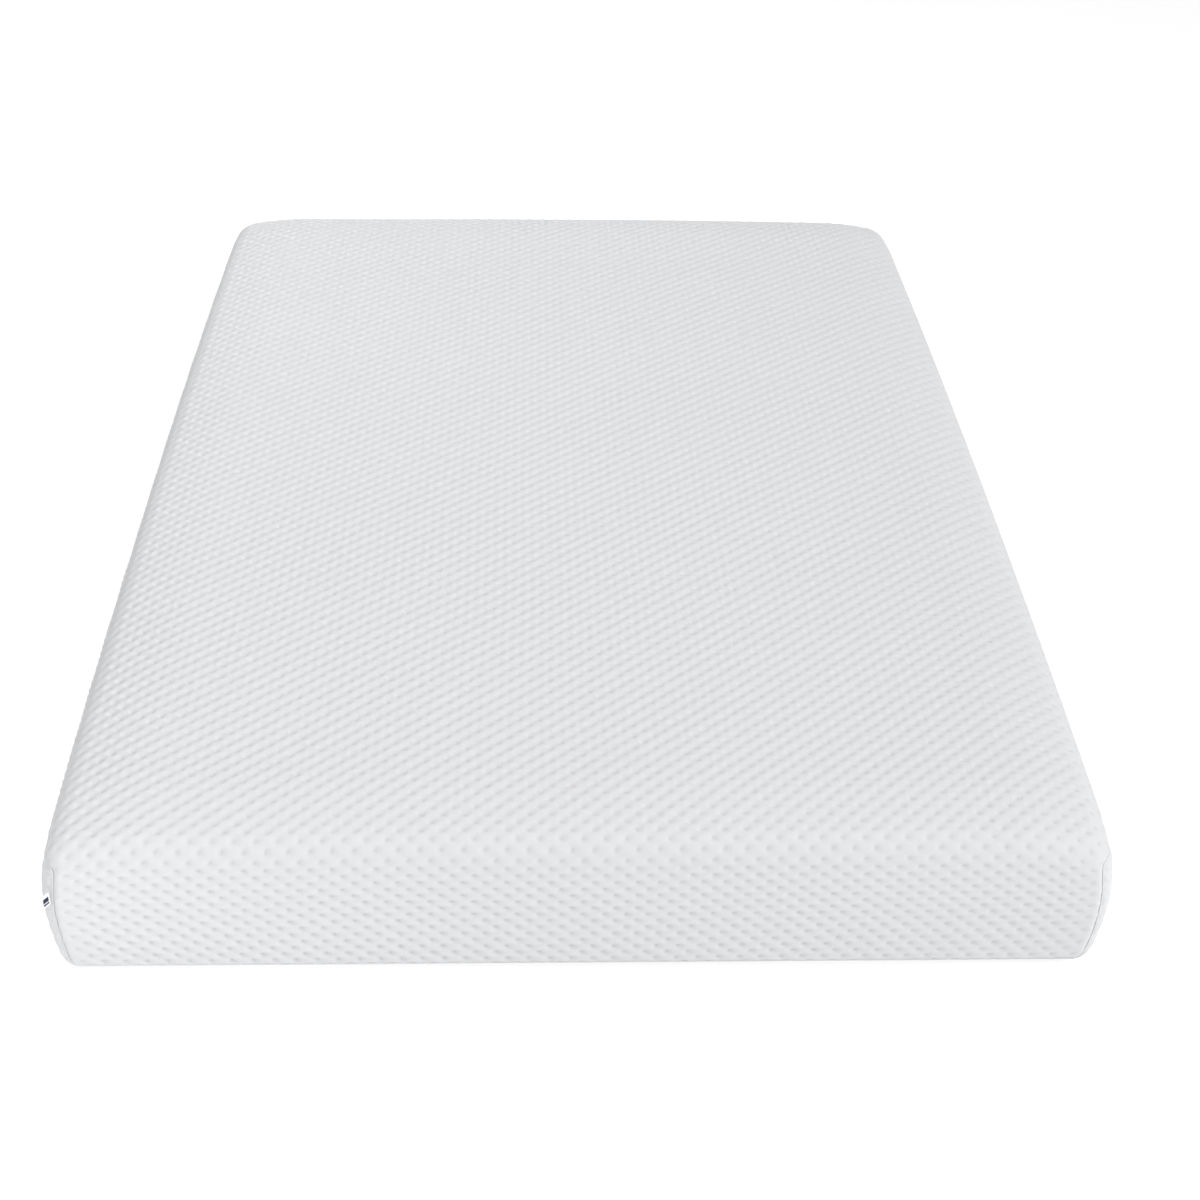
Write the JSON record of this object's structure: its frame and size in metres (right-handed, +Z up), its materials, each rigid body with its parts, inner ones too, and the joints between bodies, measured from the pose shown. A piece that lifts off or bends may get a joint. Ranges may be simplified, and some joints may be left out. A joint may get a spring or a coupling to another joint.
{
  "type": "memory foam mattress",
  "caption": "Double memory foam mattress in a white bubble-knit removable cover with corner seams, a side zip and a sewn-in label.",
  "frame": {"origin": "centre of the flat underside that rests on the bed base", "axes": "+Z up through the depth, +Y along the length from the foot end to the head end, +X across the width"},
  "size_m": [1.4052, 2.036, 0.23],
  "materials": {
    "knit": "matte white bubble knit",
    "base_cloth": "matte off-white woven base cloth",
    "seam": "matte overlocked thread",
    "sleeve": "matte stockinette",
    "memory_foam": "matte open-cell viscoelastic foam",
    "transition_foam": "matte open-cell foam",
    "support_foam": "matte open-cell foam",
    "zip_tape": "matte woven tape",
    "zip_coil": "satin nylon",
    "zip_metal": "nickel plated",
    "label": "matte woven label with a plain navy motif",
    "care_label": "satin ribbon"
  },
  "bodies": {
    "mattress": {"support_foam": "support_foam", "transition_foam": "transition_foam", "memory_foam": "memory_foam", "core_sleeve": "sleeve", "top_panel": "knit", "base_panel": "base_cloth", "base_seam": "seam", "side_panel_left": "knit", "side_panel_right": "knit", "side_strip_right": "knit", "seam_left": "seam", "seam_right": "seam", "zip_tape_upper": "zip_tape", "zip_tape_lower": "zip_tape", "zip_coil_upper": "zip_coil", "zip_coil_lower": "zip_coil", "zip_top_stop_upper": "zip_metal", "zip_top_stop_lower": "zip_metal", "zip_bottom_stop": "zip_metal", "zip_end_tab_foot": "knit", "zip_end_tab_head": "knit"},
    "slider": {"zip_slider": "zip_metal"},
    "pull": {"zip_pull": "zip_metal"},
    "label": {"seam_label": "label"},
    "care": {"care_label": "care_label"}
  },
  "joints": [
    {"name": "zip_slide", "type": "slide", "parent": "mattress", "child": "slider", "axis": [0, 1, 0], "range_m": [0, 1.8]},
    {"name": "pull_swing", "type": "hinge", "parent": "slider", "child": "pull", "pos_m": [0.7025, -0.899, 0.06], "axis": [0, 0, -1], "range_deg": [0, 175]},
    {"name": "label_flap", "type": "hinge", "parent": "mattress", "child": "label", "pos_m": [-0.67489, -0.9977, 0.1445], "axis": [0, 0, 1], "range_deg": [-70, 85], "stiffness_Nm_per_rad": 0.0005},
    {"name": "care_flap", "type": "hinge", "parent": "mattress", "child": "care", "pos_m": [0.67489, 0.9977, 0.112], "axis": [0, 0, 1], "range_deg": [-75, 80], "stiffness_Nm_per_rad": 0.0005}
  ]
}
